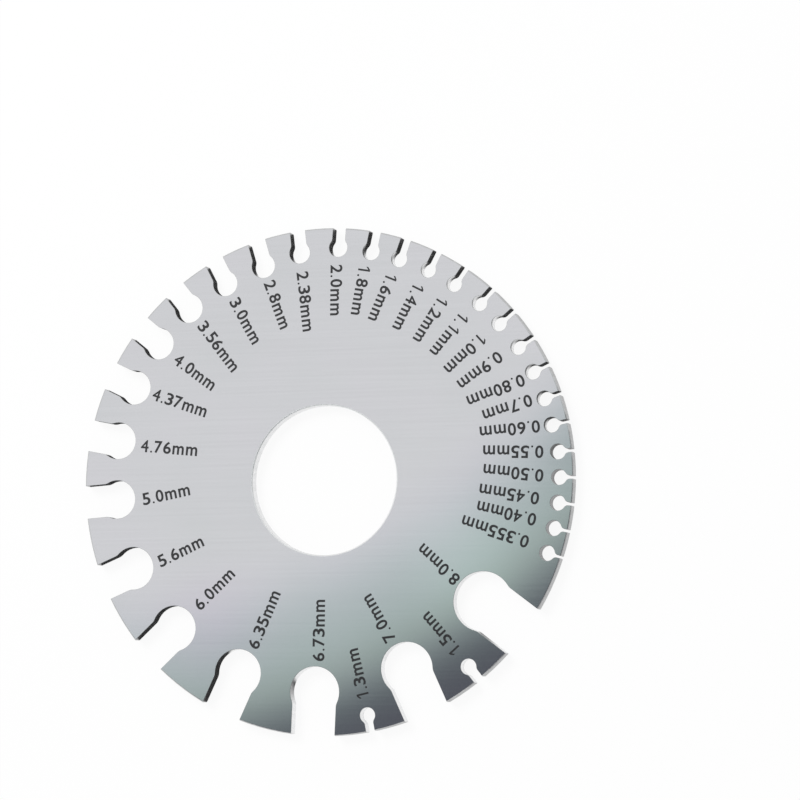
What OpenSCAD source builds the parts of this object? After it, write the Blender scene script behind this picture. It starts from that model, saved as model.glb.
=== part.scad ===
// Round wire gauge plate. A flat steel disc with a finger hole in the middle and graded
// notches round its rim. Each notch is a parallel slot of one wire size that opens through
// a rounded neck into a drilled hole, so a wire that passes the slot drops free.
// The plate lies on its back face: origin at the middle of that face, marked face up.

/* [Plate] */
// Diameter of the plate
plate_d = 76.2; // [70:0.1:90]
// Thickness of the sheet
plate_t = 2; // [1:0.1:4]
// Diameter of the hole in the middle
hole_d = 22.5; // [12:0.5:30]
// Chamfer that breaks the edges of the rim and the middle hole
edge_break = 0.15; // [0.05:0.05:0.4]

/* [Notches] */
// How much wider than its slot a notch's drilled hole is
relief_over = 0.85; // [0.5:0.05:1.2]
// Smallest drilled hole
relief_min_d = 2.3; // [1.8:0.1:2.6]
// Neck radius of the narrowest slots
neck_base = 0.6; // [0.3:0.1:0.8]
// Neck radius gained with each millimetre of slot width
neck_gain = 0.2; // [0:0.05:0.3]

/* [Hidden] */
$fn = 96;

plate_r = plate_d / 2;
hole_r = hole_d / 2;

// How far a cutter runs past the faces and the rim
cut_past = 1;

// How far a neck's round laps its slot and its hole, so that their outlines cross
neck_lap = 0.005;

// One row per notch, turning anticlockwise from the narrowest:
// slot width, station in degrees from +X, depth from the rim to the bottom of its hole
notches = [
    [0.355, -18.5, 3.3], [0.40, -12.5, 3.3], [0.45, -6.5, 3.3], [0.50, -0.5, 3.3],
    [0.55, 5.5, 3.3], [0.60, 12, 3.6], [0.70, 18.5, 3.6], [0.80, 25.5, 3.7],
    [0.90, 32.5, 3.8], [1.00, 40, 4.0], [1.10, 47, 4.0], [1.20, 55, 4.1],
    [1.40, 62.5, 4.2], [1.60, 70.5, 4.4], [1.80, 78, 4.4], [2.00, 86.5, 4.4],
    [2.38, 96.5, 5.0], [2.80, 106.5, 5.8], [3.00, 117.5, 5.9], [3.56, 129, 6.0],
    [4.00, 141, 6.5], [4.37, 154, 7.0], [4.76, 168.5, 7.4], [5.00, 184, 8.0],
    [5.60, 203, 8.5], [6.00, 223, 9.3], [6.35, 245, 10.0], [6.73, 267.5, 10.3],
    [1.30, 281, 3.6], [7.00, 294.5, 11.1], [1.50, 308.5, 3.6], [8.00, 323, 12.0],
];

// Diameter of the drilled hole at the bottom of a slot
function relief_d(size) = max(relief_min_d, size + relief_over);

// Radius that eases the walls of a slot into its hole
function neck_r(size) = neck_base + neck_gain * size;

// Half section of the disc, from the middle hole to the rim
module disc_profile() {
    polygon([
        [hole_r + edge_break, 0],
        [plate_r - edge_break, 0],
        [plate_r, edge_break],
        [plate_r, plate_t - edge_break],
        [plate_r - edge_break, plate_t],
        [hole_r + edge_break, plate_t],
        [hole_r, plate_t - edge_break],
        [hole_r, edge_break],
    ]);
}

// One notch seen from above, with its slot running out along +X
module notch_outline(size, depth) {
    relief_r = relief_d(size) / 2;
    relief_x = plate_r - depth + relief_r;
    ease_r = neck_r(size);
    ease_y = size / 2 + ease_r - neck_lap;
    ease_x = sqrt(pow(relief_r + ease_r - neck_lap, 2) - pow(ease_y, 2));
    translate([relief_x, 0]) {
        circle(r = relief_r);
        translate([0, -size / 2])
            square([plate_r - relief_x + cut_past, size]);
        difference() {
            polygon([[0, 0], [ease_x, ease_y], [ease_x, -ease_y]]);
            for (side = [-1, 1])
                translate([ease_x, side * ease_y])
                    circle(r = ease_r);
        }
    }
}

// The cutter of one notch, turned to its station
module notch(size, station, depth) {
    rotate(station)
        translate([0, 0, -cut_past])
            linear_extrude(plate_t + 2 * cut_past)
                notch_outline(size, depth);
}

module gauge_plate() {
    color([0.80, 0.80, 0.81])
        difference() {
            rotate_extrude() disc_profile();
            for (row = notches)
                notch(row[0], row[1], row[2]);
        }
}

gauge_plate();
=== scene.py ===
import math
import bpy
from mathutils import Matrix, Vector


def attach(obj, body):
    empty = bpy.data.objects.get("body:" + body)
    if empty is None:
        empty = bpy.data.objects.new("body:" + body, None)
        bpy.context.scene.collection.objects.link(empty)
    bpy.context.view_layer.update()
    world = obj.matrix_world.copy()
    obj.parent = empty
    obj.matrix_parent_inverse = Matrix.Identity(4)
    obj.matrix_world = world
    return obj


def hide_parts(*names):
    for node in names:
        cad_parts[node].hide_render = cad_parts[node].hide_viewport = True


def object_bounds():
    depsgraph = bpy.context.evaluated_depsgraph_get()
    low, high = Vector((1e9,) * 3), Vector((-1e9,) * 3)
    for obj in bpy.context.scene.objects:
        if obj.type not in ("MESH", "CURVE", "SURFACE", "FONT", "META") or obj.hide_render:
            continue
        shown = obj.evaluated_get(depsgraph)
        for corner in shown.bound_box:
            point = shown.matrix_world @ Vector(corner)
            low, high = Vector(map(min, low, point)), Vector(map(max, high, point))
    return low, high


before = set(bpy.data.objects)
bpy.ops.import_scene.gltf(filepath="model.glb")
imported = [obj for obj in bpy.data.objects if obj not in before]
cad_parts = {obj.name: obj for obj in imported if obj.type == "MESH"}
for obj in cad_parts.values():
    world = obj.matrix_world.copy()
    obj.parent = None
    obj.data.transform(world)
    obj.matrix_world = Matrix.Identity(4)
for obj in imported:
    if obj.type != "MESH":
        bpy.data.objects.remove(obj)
bpy.context.view_layer.update()
cadLow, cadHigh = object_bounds()
mm = 0.001
print("frame loaded, box", [round(v, 4) for v in cadHigh - cadLow])

scene = bpy.context.scene
scene.view_settings.view_transform = "Standard"


# shared helpers

noiseMiddle = (0.3, 0.7)   # most of a noise lies between these values
broadDetail = 2.0
fineDetail = 3.0


def deselectAll():
    if bpy.context.object and bpy.context.object.mode != "OBJECT":
        bpy.ops.object.mode_set(mode="OBJECT")
    bpy.ops.object.select_all(action="DESELECT")


def makeActive(obj):
    deselectAll()
    obj.select_set(True)
    bpy.context.view_layer.objects.active = obj


def grey(tone):
    return (tone, tone, tone, 1)


def newMaterial(name):
    mat = bpy.data.materials.new(name)
    mat.use_nodes = True
    nodes = mat.node_tree.nodes
    return mat, nodes, mat.node_tree.links, nodes["Principled BSDF"]


def objectNoise(nodes, links, stretch, detail):
    coord = nodes.new("ShaderNodeTexCoord")
    place = nodes.new("ShaderNodeMapping")
    place.inputs["Scale"].default_value = stretch
    links.new(coord.outputs["Object"], place.inputs["Vector"])
    noise = nodes.new("ShaderNodeTexNoise")
    noise.inputs["Scale"].default_value = 1.0
    noise.inputs["Detail"].default_value = detail
    links.new(place.outputs["Vector"], noise.inputs["Vector"])
    return noise.outputs["Fac"]


def ramp(nodes, links, source, stops):
    node = nodes.new("ShaderNodeValToRGB")
    bar = node.color_ramp
    while len(bar.elements) < len(stops):
        bar.elements.new(0.5)  # anywhere, its place is set below
    for element, (position, colour) in zip(bar.elements, stops):
        element.position = position
        element.color = (*colour, 1.0)
    links.new(source, node.inputs["Fac"])
    return node.outputs["Color"]


def spread(nodes, links, noise, low, high):
    node = nodes.new("ShaderNodeMapRange")
    node.inputs["From Min"].default_value = noiseMiddle[0]
    node.inputs["From Max"].default_value = noiseMiddle[1]
    node.inputs["To Min"].default_value = low
    node.inputs["To Max"].default_value = high
    links.new(noise, node.inputs["Value"])
    return node.outputs["Result"]


def scaleTone(nodes, links, colour, amount):
    node = nodes.new("ShaderNodeVectorMath")
    node.operation = "SCALE"
    links.new(colour, node.inputs[0])
    links.new(amount, node.inputs["Scale"])
    return node.outputs["Vector"]


def addBump(nodes, links, bsdf, source, depth, strength):
    bump = nodes.new("ShaderNodeBump")
    bump.inputs["Distance"].default_value = depth
    bump.inputs["Strength"].default_value = strength
    links.new(source, bump.inputs["Height"])
    links.new(bump.outputs["Normal"], bsdf.inputs["Normal"])


# finishes of the steel, with painted light and shade in the tones of the walls and edges

groundFace = {
    "casts": (70, 70, 70),         # broad, faint casts about 15 mm across
    "castTints": [
        (0.30, (0.598, 0.608, 0.627)),
        (0.52, (0.610, 0.616, 0.638)),
        (0.72, (0.617, 0.616, 0.644)),
    ],
    "grain": (40, 3200, 40),       # grinding hairlines along X
    "grainTone": (0.982, 1.018),
    "bands": (14, 420, 14),        # broader and fainter bands of the same grinding
    "bandTone": (0.994, 1.006),
    "roughness": (0.15, 0.19),
    "bump": (0.0002 * mm, 0.5),    # depth and strength
}


def makeGroundFace():
    mat, nodes, links, bsdf = newMaterial("ground_face")
    casts = objectNoise(nodes, links, groundFace["casts"], broadDetail)
    grain = objectNoise(nodes, links, groundFace["grain"], fineDetail)
    bands = objectNoise(nodes, links, groundFace["bands"], broadDetail)
    tone = ramp(nodes, links, casts, groundFace["castTints"])
    tone = scaleTone(nodes, links, tone, spread(nodes, links, grain, *groundFace["grainTone"]))
    tone = scaleTone(nodes, links, tone, spread(nodes, links, bands, *groundFace["bandTone"]))
    links.new(tone, bsdf.inputs["Base Color"])
    links.new(spread(nodes, links, grain, *groundFace["roughness"]), bsdf.inputs["Roughness"])
    addBump(nodes, links, bsdf, grain, *groundFace["bump"])
    bsdf.inputs["Metallic"].default_value = 1.0
    return mat


paintedLightEdgeFinishes = {
    # one steel throughout: the walls and the bore chamfer are toned lighter than the ground face as
    # painted light, the eased edges darker as painted shade
    "cut_walls": {
        "tones": [(0.35, (0.76, 0.765, 0.77)), (0.65, (0.86, 0.86, 0.865))],
        "roughness": (0.24, 0.36),
    },
    "eased_edges": {
        "tones": [(0.35, (0.49, 0.495, 0.50)), (0.65, (0.55, 0.555, 0.56))],
        "roughness": (0.22, 0.3),
    },
    "bore_edge": {
        "tones": [(0.35, (0.80, 0.805, 0.81)), (0.65, (0.84, 0.845, 0.85))],
        "roughness": (0.45, 0.55),
    },
}
cutting = {
    "lines": (1600, 1600, 250),    # short lines that run through the thickness
    "bump": (0.001 * mm, 0.4),     # depth and strength
}


def makePaintedLightEdgeFinish(name):
    style = paintedLightEdgeFinishes[name]
    mat, nodes, links, bsdf = newMaterial(name)
    lines = objectNoise(nodes, links, cutting["lines"], fineDetail)
    # its tones hold painted light and shade, its lines are the steel's own cutting marks
    links.new(ramp(nodes, links, lines, style["tones"]), bsdf.inputs["Base Color"])
    links.new(spread(nodes, links, lines, *style["roughness"]), bsdf.inputs["Roughness"])
    addBump(nodes, links, bsdf, lines, *cutting["bump"])
    bsdf.inputs["Metallic"].default_value = 1.0
    return mat


# the notched plate: a merged copy of its solid, with every edge eased

plate = {
    "mergeGap": 0.001 * mm,             # points nearer than this are one
    "flatAngle": math.radians(0.5),     # sides that meet flatter than this are one
    "sharpAngle": math.radians(30),     # edges sharper than this are eased
    "edgeRound": 0.05 * mm,
    "roundSteps": 2,
    "roundProfile": 0.5,
    "smoothAngle": math.radians(50),
    "faceUp": 0.999,                    # a normal that stands steeper belongs to a ground face
    "wallUp": 0.05,                     # and one that lies flatter to a cut wall
    "edgeBand": 0.3 * mm,               # the chamfers of the bore and the rim are narrower than this
}
plateMaterials = ["ground_face", "cut_walls", "eased_edges", "bore_edge"]

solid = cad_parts["gauge_plate"]
solidPoints = [v.co.xy for v in solid.data.vertices]
boreReach = min(point.length for point in solidPoints)
rimReach = max(point.length for point in solidPoints)


def materialFor(face):
    up = abs(face.normal.z)
    if up > plate["faceUp"]:
        return "ground_face"
    if up < plate["wallUp"]:
        return "cut_walls"
    return "bore_edge" if face.center.xy.length < boreReach + plate["edgeBand"] else "eased_edges"


def makePlate():
    piece = bpy.data.objects.new("notched_plate", solid.data.copy())
    scene.collection.objects.link(piece)
    makeActive(piece)
    bpy.ops.object.mode_set(mode="EDIT")
    bpy.ops.mesh.select_all(action="SELECT")
    bpy.ops.mesh.remove_doubles(threshold=plate["mergeGap"])
    bpy.ops.mesh.dissolve_limited(angle_limit=plate["flatAngle"])
    bpy.ops.mesh.select_all(action="DESELECT")
    bpy.ops.mesh.select_mode(type="EDGE")
    bpy.ops.mesh.edges_select_sharp(sharpness=plate["sharpAngle"])
    bpy.ops.mesh.bevel(
        offset=plate["edgeRound"], segments=plate["roundSteps"], profile=plate["roundProfile"]
    )
    bpy.ops.object.mode_set(mode="OBJECT")
    piece.data.materials.clear()
    piece.data.materials.append(makeGroundFace())
    for name in plateMaterials[1:]:
        piece.data.materials.append(makePaintedLightEdgeFinish(name))
    for face in piece.data.polygons:
        face.material_index = plateMaterials.index(materialFor(face))
    bpy.ops.object.shade_smooth_by_angle(angle=plate["smoothAngle"])
    even = piece.modifiers.new("even_normals", "WEIGHTED_NORMAL")  # keeps the faces and walls flat
    even.keep_sharp = True
    bpy.ops.object.modifier_apply(modifier=even.name)
    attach(piece, "root")
    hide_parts("gauge_plate")
    print("plate eased,", len(piece.data.polygons), "faces")


# the size numbers, printed on the marked face

numbers = {
    "size": 2.6 * mm,                 # letter size, of which the shapes of letters are shares
    "digit": (0.48, 0.72),            # width and height of a digit
    "one": (0.27, 0.72),
    "m": (0.70, 0.53),
    "dot": (0.12, 0.12),
    "pitch": {"digit": 0.556, "one": 0.556, "m": 0.833, "dot": 0.278},
    "bold": 0.020,                    # how much the strokes are thickened
    "fourGrowth": 0.020,              # the same for the 4, done on its mesh to keep its eye open
    "fourMerge": 0.0005,              # points of its mesh nearer than this are one
    "stem": 0.11,                     # stroke of the 1
    "flagRoot": 0.84,                 # where its flag leaves the stem, in heights of the 1
    "flagDrop": 0.2,                  # how far the flag hangs down, in heights too
    "curveSteps": 5,
    "film": 0.012 * mm,               # thickness of the print
    "sunk": 0.004 * mm,               # how far the film lies under the face
    "mergeGap": 0.0005 * mm,
    "rowStart": math.radians(-25),    # the row starts here, before the narrowest notch
    "notchGap": math.radians(2),      # points of the outline further apart are in two notches
}
# every number starts inside its notch and reads towards the middle, a little askew:
# its gap to the notch and its shift anticlockwise in mm, its tilt in degrees
numberRow = [
    ("0.355mm", 1.9, 0.6, 0), ("0.40mm", 1.6, 0.6, -1), ("0.45mm", 1.6, 0.3, -3),
    ("0.50mm", 1.1, 0.2, -6), ("0.55mm", 0.9, 0.2, -7), ("0.60mm", 0.5, 0.2, -7),
    ("0.7mm", 0.6, 0.5, -1), ("0.80mm", 0.4, -0.4, -5), ("0.9mm", 1.6, 0.5, 3),
    ("1.0mm", 1.6, 0.1, 2), ("1.1mm", 1.3, 0.5, 3), ("1.2mm", 1.2, 0.1, 2),
    ("1.4mm", 1.1, 0.2, 0), ("1.6mm", 1.0, 0.2, -4), ("1.8mm", 0.7, 0.5, 2),
    ("2.0mm", 1.1, 0.1, 3), ("2.38mm", 1.2, -0.1, 0), ("2.8mm", 0.6, -0.2, 4),
    ("3.0mm", 0.8, -0.1, 2), ("3.56mm", 0.8, -0.1, -1), ("4.0mm", 1.1, 0, 3),
    ("4.37mm", 0.5, -0.4, 7), ("4.76mm", 0.9, 0.1, 6), ("5.0mm", 1.1, 0.4, 7),
    ("5.6mm", 0.8, 0.8, 2), ("6.0mm", 1.3, 0.1, 1), ("6.35mm", 0.7, 0.5, 2),
    ("6.73mm", 0.7, 0.4, 2), ("1.3mm", 1.1, -0.1, 3), ("7.0mm", 0.7, -0.5, 6),
    ("1.5mm", 1.2, -0.1, 3), ("8.0mm", 0.3, 0, -5),
]
ink = {
    "grain": (2500, 2500, 2500),
    "tones": [(0.3, (0.014, 0.014, 0.016)), (0.7, (0.026, 0.026, 0.028))],
    "roughness": (0.5, 0.65),
    "bump": (0.001 * mm, 0.3),        # depth and strength
}
letters = {}  # each letter is drawn once and copied from here


def makeInk():
    mat, nodes, links, bsdf = newMaterial("dark_print")
    grain = objectNoise(nodes, links, ink["grain"], fineDetail)
    links.new(ramp(nodes, links, grain, ink["tones"]), bsdf.inputs["Base Color"])
    links.new(spread(nodes, links, grain, *ink["roughness"]), bsdf.inputs["Roughness"])
    addBump(nodes, links, bsdf, grain, *ink["bump"])
    return mat


def turnOf(point):
    return (math.atan2(point.y, point.x) - numbers["rowStart"]) % math.tau


def findNotches():  # station and innermost reach of every notch, from the points of the solid
    low, high = boreReach + plate["edgeBand"], rimReach - plate["edgeBand"]
    outline = sorted((point for point in solidPoints if low < point.length < high), key=turnOf)
    groups = [outline[:1]]
    for last, point in zip(outline, outline[1:]):
        if turnOf(point) - turnOf(last) > numbers["notchGap"]:
            groups.append([])
        groups[-1].append(point)
    notches = []
    for group in groups:
        middle = (turnOf(group[0]) + turnOf(group[-1])) / 2
        notches.append((middle + numbers["rowStart"], min(point.length for point in group)))
    print("notches found:", len(notches))
    return notches


def letterKind(letter):
    return {"1": "one", "m": "m", ".": "dot"}.get(letter, "digit")


def fitLetter(piece, wide, high):
    xs = [v.co.x for v in piece.data.vertices]
    ys = [v.co.y for v in piece.data.vertices]
    piece.data.transform(Matrix.Translation((-min(xs), -min(ys), 0)))
    stretch = (wide / (max(xs) - min(xs)), high / (max(ys) - min(ys)), 1, 1)
    piece.data.transform(Matrix.Diagonal(stretch))


def drawOne():
    wide, high = numbers["one"]
    stem = numbers["stem"]
    bpy.ops.mesh.primitive_plane_add(size=1)
    piece = bpy.context.object
    bpy.ops.object.mode_set(mode="EDIT")
    bpy.ops.mesh.select_mode(type="EDGE")
    bpy.ops.transform.resize(value=(stem, high, 1))
    bpy.ops.transform.translate(value=(wide - stem / 2, high / 2, 0))
    bpy.ops.mesh.bisect(plane_co=(0, numbers["flagRoot"] * high, 0), plane_no=(0, 1, 0))
    bpy.ops.mesh.select_all(action="DESELECT")
    bpy.ops.object.mode_set(mode="OBJECT")
    for edge in piece.data.edges:  # the upper left edge grows into the flag
        ends = [piece.data.vertices[v].co for v in edge.vertices]
        edge.select = all(end.x < wide - stem / 2 and end.y > high / 2 for end in ends)
    bpy.ops.object.mode_set(mode="EDIT")
    tip = (stem - wide, -numbers["flagDrop"] * high, 0)
    bpy.ops.mesh.extrude_region_move(TRANSFORM_OT_translate={"value": tip})
    bpy.ops.mesh.select_all(action="SELECT")
    bpy.ops.mesh.extrude_region_move(TRANSFORM_OT_translate={"value": (0, 0, 1)})
    bpy.ops.object.mode_set(mode="OBJECT")
    return piece


def drawLetter(letter):  # of size 1 and one thick, on z = 0
    deselectAll()
    if letter == "1":
        return drawOne()
    halfThick = 0.5
    bpy.ops.object.text_add()
    text = bpy.context.object
    text.data.body = letter
    text.data.size = 1
    text.data.offset = 0 if letter == "4" else numbers["bold"]
    text.data.extrude = halfThick
    text.data.resolution_u = numbers["curveSteps"]
    bpy.ops.object.convert(target="MESH")
    piece = bpy.context.object
    piece.data.transform(Matrix.Translation((0, 0, halfThick)))
    if letter == "4":
        bpy.ops.object.mode_set(mode="EDIT")
        bpy.ops.mesh.select_all(action="SELECT")
        bpy.ops.mesh.remove_doubles(threshold=numbers["fourMerge"])
        bpy.ops.mesh.normals_make_consistent(inside=False)
        bpy.ops.transform.shrink_fatten(value=numbers["fourGrowth"], use_even_offset=True)
        bpy.ops.object.mode_set(mode="OBJECT")
    fitLetter(piece, *numbers[letterKind(letter)])
    return piece


def placeLetter(letter, start, corner, heading):
    if letter not in letters:
        letters[letter] = drawLetter(letter)
    copy = bpy.data.objects.new("letter", letters[letter].data.copy())
    scene.collection.objects.link(copy)
    size = numbers["size"]
    makeActive(copy)
    copy.data.transform(Matrix.Translation((start, -numbers["digit"][1] / 2, 0)))
    copy.scale = (size, size, numbers["film"])
    copy.rotation_euler = (0, 0, heading)
    copy.location = (*corner, cadHigh.z - numbers["sunk"])
    bpy.ops.object.transform_apply(location=True, rotation=True, scale=True)
    return copy


def printNumber(notch, words, gap, shift, tilt):
    station, bottom = notch
    outward = Vector((math.cos(station), math.sin(station)))
    across = Vector((-outward.y, outward.x))
    first = (bottom - gap * mm) * outward + shift * mm * across
    heading = station + math.pi + math.radians(tilt)
    made, run = [], 0
    for letter in words:
        kind = letterKind(letter)
        pitch = numbers["pitch"][kind]
        made.append(placeLetter(letter, run + (pitch - numbers[kind][0]) / 2, first, heading))
        run += pitch
    return made


def makeNumbers():
    made = []
    for notch, row in zip(findNotches(), numberRow):
        made += printNumber(notch, *row)
    for pattern in letters.values():
        bpy.data.objects.remove(pattern)
    deselectAll()
    for letter in made:
        letter.select_set(True)
    bpy.context.view_layer.objects.active = made[0]
    bpy.ops.object.join()
    piece = bpy.context.object
    piece.name = "size_numbers"
    bpy.ops.object.mode_set(mode="EDIT")
    bpy.ops.mesh.select_all(action="SELECT")
    bpy.ops.mesh.remove_doubles(threshold=numbers["mergeGap"])
    bpy.ops.mesh.normals_make_consistent(inside=False)
    bpy.ops.object.mode_set(mode="OBJECT")
    piece.data.materials.clear()
    piece.data.materials.append(makeInk())
    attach(piece, "root")
    print("numbers printed,", len(piece.data.polygons), "faces")


# floor, world and key lamp, with places and sizes in metres

floor = {
    "size": 6.0,
    "white": 0.9,
    "lift": 0.9,    # how far it is lifted to pure white for the camera and in gloss
}
sky = {
    "light": 0.72,  # what it sheds on the scene
    "seen": 1.0,    # what the camera and the gloss see of it
}
keyLamp = {"place": (-0.35, 0.40, 0.60), "size": 0.35, "power": 3.0}


def largest(nodes, links, values):
    total = values[0]
    for value in values[1:]:
        node = nodes.new("ShaderNodeMath")
        node.operation = "MAXIMUM"
        links.new(total, node.inputs[0])
        links.new(value, node.inputs[1])
        total = node.outputs["Value"]
    return total


def seenDirectly(nodes, links):
    path = nodes.new("ShaderNodeLightPath")
    kinds = ("Is Camera Ray", "Is Glossy Ray", "Is Transmission Ray")
    return largest(nodes, links, [path.outputs[kind] for kind in kinds])


def makeFloor():
    deselectAll()
    bpy.ops.mesh.primitive_plane_add(size=floor["size"])
    ground = bpy.context.object
    ground.name = "floor"
    mat = bpy.data.materials.new("white_floor")
    mat.use_nodes = True
    nodes, links = mat.node_tree.nodes, mat.node_tree.links
    nodes.clear()
    out = nodes.new("ShaderNodeOutputMaterial")
    paper = nodes.new("ShaderNodeBsdfDiffuse")
    paper.inputs["Color"].default_value = grey(floor["white"])
    glow = nodes.new("ShaderNodeEmission")
    mix = nodes.new("ShaderNodeMixShader")
    share = nodes.new("ShaderNodeMath")
    share.operation = "MULTIPLY"
    share.inputs[1].default_value = floor["lift"]
    links.new(seenDirectly(nodes, links), share.inputs[0])
    links.new(share.outputs["Value"], mix.inputs["Fac"])
    links.new(paper.outputs["BSDF"], mix.inputs[1])
    links.new(glow.outputs["Emission"], mix.inputs[2])
    links.new(mix.outputs["Shader"], out.inputs["Surface"])
    ground.data.materials.append(mat)


def makeSky():
    world = bpy.data.worlds.new("studio")
    scene.world = world
    world.use_nodes = True
    nodes, links = world.node_tree.nodes, world.node_tree.links
    back = nodes["Background"]
    back.inputs["Color"].default_value = grey(1)
    level = nodes.new("ShaderNodeMapRange")
    level.inputs["To Min"].default_value = sky["light"]
    level.inputs["To Max"].default_value = sky["seen"]
    links.new(seenDirectly(nodes, links), level.inputs["Value"])
    links.new(level.outputs["Result"], back.inputs["Strength"])


def makeKeyLamp():
    deselectAll()
    bpy.ops.object.light_add(type="AREA", location=keyLamp["place"])
    lamp = bpy.context.object
    lamp.name = "key_lamp"
    lamp.data.size = keyLamp["size"]
    lamp.data.energy = keyLamp["power"]
    lamp.rotation_euler = (-Vector(keyLamp["place"])).to_track_quat("-Z", "Y").to_euler()
    lamp.visible_glossy = False


# helpers of the three sheets that are seen only in gloss

def newGlow(name):
    mat = bpy.data.materials.new(name)
    mat.use_nodes = True
    nodes, links = mat.node_tree.nodes, mat.node_tree.links
    nodes.clear()
    out = nodes.new("ShaderNodeOutputMaterial")
    glow = nodes.new("ShaderNodeEmission")
    links.new(glow.outputs["Emission"], out.inputs["Surface"])
    return mat, nodes, links, glow.inputs["Color"]


def hideFromAllButGloss(sheet):
    sheet.visible_camera = False
    sheet.visible_diffuse = False
    sheet.visible_shadow = False
    sheet.visible_transmission = False


def distanceFrom(nodes, links, place, middle):
    node = nodes.new("ShaderNodeVectorMath")
    node.operation = "DISTANCE"
    node.inputs[1].default_value = middle
    links.new(place, node.inputs[0])
    return node.outputs["Value"]


def stepUp(nodes, links, value, start, soft):
    node = nodes.new("ShaderNodeMapRange")
    node.interpolation_type = "SMOOTHSTEP"
    node.inputs["From Min"].default_value = start - soft / 2
    node.inputs["From Max"].default_value = start + soft / 2
    links.new(value, node.inputs["Value"])
    return node.outputs["Result"]


def mixTones(nodes, links, amount, low, high):
    node = nodes.new("ShaderNodeMix")
    node.data_type = "RGBA"
    links.new(amount, node.inputs["Factor"])
    for socket, tone in ((node.inputs[6], low), (node.inputs[7], high)):  # its two colours
        if isinstance(tone, tuple):
            socket.default_value = tone
        else:
            links.new(tone, socket)
    return node.outputs[2]  # the mixed colour


# a toned card over the plate, seen only in its gloss

card = {
    "height": 40 * mm,
    "turn": math.radians(-64),              # the way in which it darkens
    "middle": (-55.3 * mm, 91.8 * mm),      # middle of the arcs of its tones
    "tonesFrom": 104 * mm,                  # distances from there
    "tonesTo": 144 * mm,
    "near": 88 * mm,
    "far": 190 * mm,
    "halfWide": 80 * mm,
    "spots": [                              # a greener glow, a dimmer side and a lilac one, all soft
        {"place": (12.5 * mm, -11.5 * mm), "reach": 15 * mm, "cast": (1.13, 1.17, 1.14, 1)},
        {"place": (31 * mm, 6 * mm), "reach": 12 * mm, "cast": (0.85, 0.85, 0.86, 1)},
        {"place": (-31 * mm, -22 * mm), "reach": 15 * mm, "cast": (1.03, 0.96, 1.02, 1)},
    ],
    "tones": [
        (0.05, (1.00, 1.00, 1.00)), (0.16, (0.955, 0.955, 0.975)), (0.27, (0.80, 0.855, 0.865)),
        (0.38, (0.67, 0.755, 0.745)), (0.49, (0.60, 0.71, 0.68)), (0.60, (0.49, 0.59, 0.54)),
        (0.68, (0.32, 0.37, 0.37)), (0.76, (0.16, 0.185, 0.20)), (0.86, (0.13, 0.135, 0.16)),
    ],
}


def makeCard():
    deselectAll()
    bpy.ops.mesh.primitive_plane_add(size=1)
    sheet = bpy.context.object
    sheet.name = "toned_card"
    level = cadHigh.z + card["height"]
    near, far = card["near"], card["far"]
    sheet.data.transform(Matrix.Diagonal((far - near, 2 * card["halfWide"], 1, 1)))
    sheet.data.transform(Matrix.Translation(((near + far) / 2, 0, 0)))
    sheet.data.transform(Matrix.Rotation(card["turn"], 4, "Z"))
    sheet.data.transform(Matrix.Translation((*card["middle"], level)))
    mat, nodes, links, out = newGlow("card_tones")
    place = nodes.new("ShaderNodeTexCoord").outputs["Object"]
    along = nodes.new("ShaderNodeMapRange")
    along.inputs["From Min"].default_value = card["tonesFrom"]
    along.inputs["From Max"].default_value = card["tonesTo"]
    links.new(distanceFrom(nodes, links, place, (*card["middle"], level)), along.inputs["Value"])
    tone = ramp(nodes, links, along.outputs["Result"], card["tones"])
    for spot in card["spots"]:
        away = distanceFrom(nodes, links, place, (*spot["place"], level))
        edge = stepUp(nodes, links, away, spot["reach"] / 2, spot["reach"])
        both = nodes.new("ShaderNodeVectorMath")
        both.operation = "MULTIPLY"
        links.new(tone, both.inputs[0])
        links.new(mixTones(nodes, links, edge, spot["cast"], grey(1)), both.inputs[1])
        tone = both.outputs["Vector"]
    links.new(tone, out)
    sheet.data.materials.append(mat)
    hideFromAllButGloss(sheet)


# a ring of painted shade on the floor round the notches, seen only in the gloss of the walls, where
# the floor in the notches lies in shade

paintedShadeRing = {
    "level": 0.03 * mm,
    "inner": 28.5 * mm,
    "outer": 40.5 * mm,
    "sides": 96,
    "darkFrom": 32.6 * mm,                 # the painted shade starts here, round its own middle
    "darkMiddle": (2.0 * mm, 1.9 * mm, 0),
    "softEdge": 0.8 * mm,
    "dark": 0.03,
    "fades": [                             # the painted shade turns white downwards and grey to the right
        {"towards": (0.26, -0.97, 0), "from": 28 * mm, "to": 31 * mm, "tone": 1.0},
        {"towards": (0.9, -0.44, 0), "from": 28.5 * mm, "to": 32.5 * mm, "tone": 0.38},
    ],
    "rimTone": 0.55,                       # and this grey painted shade outside the rim of the plate
    "rimSoft": 0.1 * mm,
}


def fadeAlong(nodes, links, place, fade):
    along = nodes.new("ShaderNodeVectorMath")
    along.operation = "DOT_PRODUCT"
    along.inputs[1].default_value = fade["towards"]
    links.new(place, along.inputs[0])
    node = nodes.new("ShaderNodeMapRange")
    node.inputs["From Min"].default_value = fade["from"]
    node.inputs["From Max"].default_value = fade["to"]
    node.inputs["To Min"].default_value = paintedShadeRing["dark"]
    node.inputs["To Max"].default_value = fade["tone"]
    links.new(along.outputs["Value"], node.inputs["Value"])
    return node.outputs["Result"]


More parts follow.
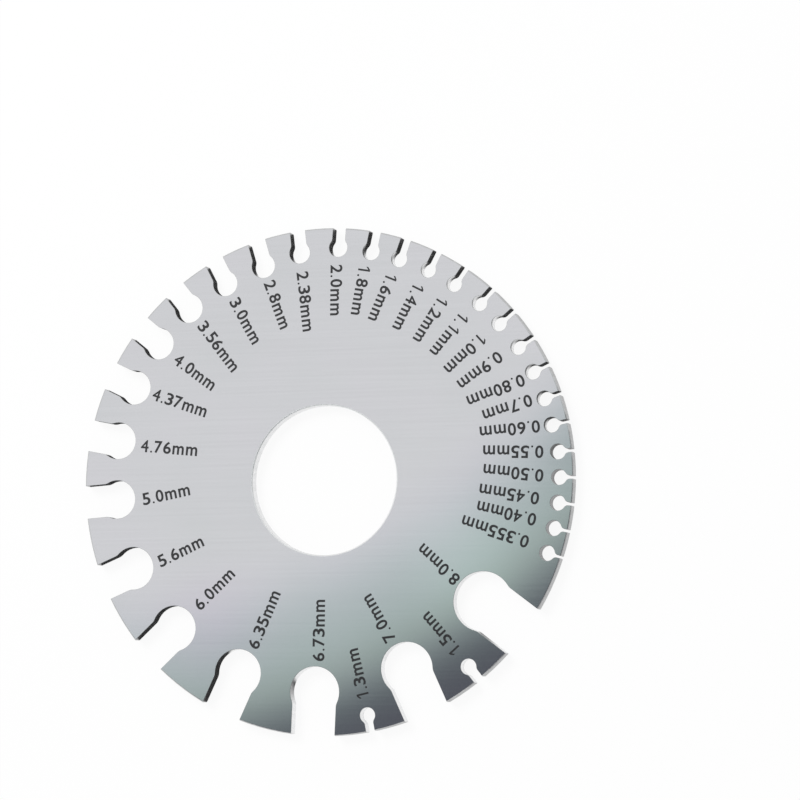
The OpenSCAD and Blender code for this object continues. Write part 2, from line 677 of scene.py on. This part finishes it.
def makePaintedShadeRing():
    deselectAll()
    bpy.ops.mesh.primitive_circle_add(
        vertices=paintedShadeRing["sides"], radius=paintedShadeRing["outer"], fill_type="NGON"
    )
    ring = bpy.context.object
    ring.name = "painted_shade_ring"
    bpy.ops.object.mode_set(mode="EDIT")
    bpy.ops.mesh.inset(thickness=paintedShadeRing["outer"] - paintedShadeRing["inner"])
    bpy.ops.mesh.delete(type="FACE")
    bpy.ops.object.mode_set(mode="OBJECT")
    ring.data.transform(Matrix.Translation((0, 0, paintedShadeRing["level"])))
    mat, nodes, links, out = newGlow("painted_shade_ring_tones")
    place = nodes.new("ShaderNodeTexCoord").outputs["Object"]
    dark = largest(nodes, links, [fadeAlong(nodes, links, place, fade) for fade in paintedShadeRing["fades"]])
    fromMiddle = distanceFrom(nodes, links, place, paintedShadeRing["darkMiddle"])
    fromAxis = distanceFrom(nodes, links, place, (0, 0, 0))
    inside = stepUp(nodes, links, fromMiddle, paintedShadeRing["darkFrom"], paintedShadeRing["softEdge"])
    outside = stepUp(nodes, links, fromAxis, rimReach, paintedShadeRing["rimSoft"])
    # painted shade: white nearer the middle, dark under the notches, grey beyond the rim
    tone = mixTones(nodes, links, inside, grey(1), dark)
    tone = mixTones(nodes, links, outside, tone, grey(paintedShadeRing["rimTone"]))
    links.new(tone, out)
    ring.data.materials.append(mat)
    hideFromAllButGloss(ring)


# a dark flag that stands on the right, seen only in the gloss of the rim, in metres

flag = {"reach": 0.20, "from": -0.40, "to": 0.06, "high": 0.12, "tone": 0.45}


def makeFlag():
    deselectAll()
    bpy.ops.mesh.primitive_plane_add(size=1)
    sheet = bpy.context.object
    sheet.name = "dark_flag"
    middle = (flag["from"] + flag["to"]) / 2
    sheet.data.transform(Matrix.Diagonal((flag["high"], flag["to"] - flag["from"], 1, 1)))
    sheet.data.transform(Matrix.Rotation(math.radians(90), 4, "Y"))
    sheet.data.transform(Matrix.Translation((flag["reach"], middle, flag["high"] / 2)))
    mat, nodes, links, out = newGlow("flag_cloth")
    out.default_value = grey(flag["tone"])
    sheet.data.materials.append(mat)
    hideFromAllButGloss(sheet)


# camera: above and a little to the right, as the photograph was taken

view = {
    "place": (0.12898, -0.0348, 0.42752),   # metres
    "target": (0.0118, 0.0117, 0.002),
    "lens": 134.08,
    "sensor": 36,
    "clipStart": 0.01,
}


def makeCamera():
    camera = bpy.data.objects.new("camera", bpy.data.cameras.new("camera"))
    scene.collection.objects.link(camera)
    camera.data.lens = view["lens"]
    camera.data.sensor_width = view["sensor"]
    camera.data.clip_start = view["clipStart"]
    place, target = Vector(view["place"]), Vector(view["target"])
    back = (place - target).normalized()
    right = Vector((0, 1, 0)).cross(back).normalized()
    up = back.cross(right)
    turn = Matrix((right, up, back)).transposed().to_4x4()
    camera.matrix_world = Matrix.Translation(place) @ turn
    scene.camera = camera


makePlate()
makeNumbers()
makeFloor()
makeSky()
makeKeyLamp()
makeCard()
makePaintedShadeRing()
makeFlag()
makeCamera()
print("stage and camera set")

bpy.context.view_layer.update()
